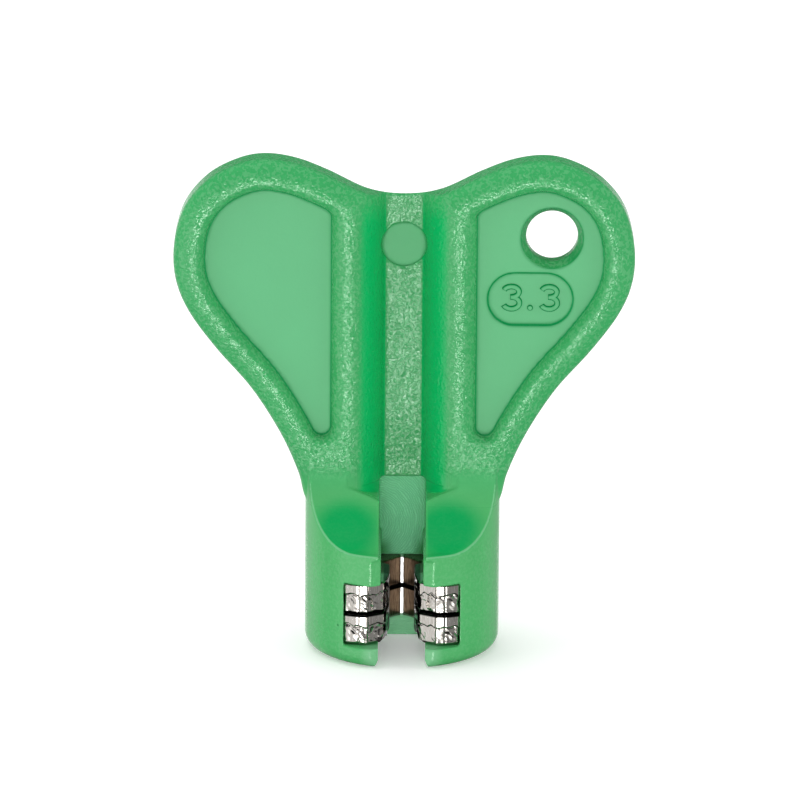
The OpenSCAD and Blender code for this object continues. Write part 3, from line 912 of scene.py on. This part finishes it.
def makeHandle(material):
    obj = makeWings()
    pockets = [makePocket("pocket%d%d" % (side, face), side, face) for side in (-1, 1) for face in (-1, 1)]
    combine(obj, pockets, "DIFFERENCE")
    print("wings", len(obj.data.polygons))
    combine(obj, [makeBarrel()], "UNION")
    combine(obj, handleCuts() + [holeCut(), markCut(), ejectorCut()], "DIFFERENCE")
    print("handle solid", len(obj.data.polygons))
    m = obj.modifiers.new("remesh", "REMESH")
    m.mode, m.voxel_size, m.adaptivity = "VOXEL", handleLook["voxel"], 0
    applyModifiers(obj)
    print("remeshed", len(obj.data.polygons))
    m = obj.modifiers.new("smooth", "SMOOTH")
    m.factor, m.iterations = handleLook["smoothFactor"], handleLook["smoothing"]
    applyModifiers(obj)
    obj.name = "handleMoulding"
    finishPiece(obj, material)
    return obj


green, steel = makePlastic(), makeSteel()

handle = makeHandle(green)
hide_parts("handle")

numerals = makeNumerals()
finishPiece(numerals, green)
for poly in numerals.data.polygons:
    poly.use_smooth = len(poly.vertices) == 4
print("numerals made")

upperPlate = makePlate("upperJawPlate", plateLook["low"] + plateLook["thick"], plateLook["upperSeed"])
finishPiece(upperPlate, steel)
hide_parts("upper_jaw_plate")
lowerPlate = makePlate("lowerJawPlate", plateLook["low"], plateLook["lowerSeed"])
finishPiece(lowerPlate, steel)
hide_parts("lower_jaw_plate")
print("plates made")

# Floor: white to the camera, a little less so near the object, where its shadow lies.
floorLook = {"colour": (0.9, 0.9, 0.9), "roughness": 0.8, "cameraGlow": 0.3, "farGlow": 0.6,
             "near": 0.12, "far": 0.4, "half": 3}


def makeFloor():
    k, half = floorLook, floorLook["half"]
    mat, n, b = newMaterial("paleFloor")
    b["Base Color"].default_value = (*k["colour"], 1)
    b["Roughness"].default_value = k["roughness"]
    b["Emission Color"].default_value = (1, 1, 1, 1)
    length = n.add("ShaderNodeVectorMath", operation="LENGTH")
    n.put(length.inputs[0], n.add("ShaderNodeTexCoord").outputs["Object"])
    away = n.step(length.outputs["Value"], k["near"], k["far"])
    glow = n.blend(away, k["cameraGlow"], k["farGlow"])
    n.put(b["Emission Strength"], n.times(n.add("ShaderNodeLightPath").outputs["Is Camera Ray"], glow))
    corners = [(-half, -half, 0), (half, -half, 0), (half, half, 0), (-half, half, 0)]
    obj = newObject("floor", corners, [(0, 1, 2, 3)])
    obj.data.materials.append(mat)
    obj.visible_glossy = False
    return obj


makeFloor()

# World: even light, and for reflections a studio that is bright in front and behind, grey at the
# left and darker elsewhere. A lobe has a direction, the cosines where it starts and where it is
# full, and a strength.
studioLook = {
    "even": 0.5, "dark": 0.03,
    "lobes": [((-0.04, -0.955, -0.28), 0.87, 0.965, 1.5), ((-0.04, -0.955, -0.28), 0.984, 0.9995, 17.0),
              ((-0.75, -0.6, -0.277), 0.8, 0.95, 1.0), ((0.75, -0.6, -0.277), 0.8, 0.95, 0.3),
              ((0.0, 0.96, -0.28), 0.93, 0.995, 1.2), ((-0.62, 0.74, -0.28), 0.8, 0.97, 0.6),
              ((0.62, 0.74, -0.28), 0.8, 0.97, 0.35)],
}


def makeWorld():
    world = bpy.data.worlds.new("studio")
    bpy.context.scene.world = world
    world.use_nodes = True
    world.cycles.sampling_method = "NONE"
    n = Nodes(world.node_tree)
    background = world.node_tree.nodes["Background"].inputs
    rays = n.add("ShaderNodeLightPath").outputs
    toward = n.add("ShaderNodeTexCoord").outputs["Generated"]
    total = studioLook["dark"]
    for direction, start, full, strength in studioLook["lobes"]:
        dot = n.add("ShaderNodeVectorMath", operation="DOT_PRODUCT")
        n.fill(dot, {0: toward, 1: tuple(Vector(direction).normalized())})
        total = n.math("ADD", n.times(n.step(dot.outputs["Value"], start, full), strength), total)
    level = n.blend(rays["Is Glossy Ray"], studioLook["even"], total)
    n.put(background["Color"], (1, 1, 1, 1))
    n.put(background["Strength"], n.blend(rays["Is Camera Ray"], level, 1.0))


makeWorld()

# Soft lamps: place, width and height in metres, and watts. All aim at the middle of the object.
lampAim = (0, 0, 0.03)
lampLook = {
    "sideBoxLeft": ((-0.5, -0.16, 0.12), 0.4, 0.6, 1.3),
    "sideBoxRight": ((0.5, -0.16, 0.12), 0.4, 0.6, 1.25),
    "frontBox": ((0, -0.8, 0.07), 0.3, 0.12, 1.05),
    "backBox": ((0, 0.8, 0.2), 0.5, 0.3, 1.4),
    "topBox": ((-0.1, 0.1, 0.6), 0.5, 0.5, 1.6),
}
for name, (place, width, height, watts) in lampLook.items():
    lamp = bpy.data.lights.new(name, "AREA")
    lamp.shape, lamp.size, lamp.size_y, lamp.energy = "RECTANGLE", width, height, watts
    box = bpy.data.objects.new(name, lamp)
    bpy.context.scene.collection.objects.link(box)
    box.location = place
    box.rotation_euler = (Vector(lampAim) - Vector(place)).to_track_quat("-Z", "Y").to_euler()
    box.visible_glossy = False

camLook = {"elevation": 16.1, "distance": 0.8, "target": (-0.00035, 0, 0.02767), "lens": 330.1,
           "sensor": 36, "roll": 0.4, "near": 0.01, "far": 10}
camData = bpy.data.cameras.new("camera")
camData.lens, camData.sensor_width = camLook["lens"], camLook["sensor"]
camData.clip_start, camData.clip_end = camLook["near"], camLook["far"]
camera = bpy.data.objects.new("camera", camData)
bpy.context.scene.collection.objects.link(camera)
rise = math.radians(camLook["elevation"])
back = Vector((0, -math.cos(rise), math.sin(rise)))
camera.location = Vector(camLook["target"]) + back * camLook["distance"]
roll = Matrix.Rotation(math.radians(camLook["roll"]), 4, "Z")
camera.rotation_euler = ((-back).to_track_quat("-Z", "Y").to_matrix().to_4x4() @ roll).to_euler()

bpy.context.scene.camera = camera

bpy.context.scene.view_settings.view_transform = "Standard"
print("stage made")
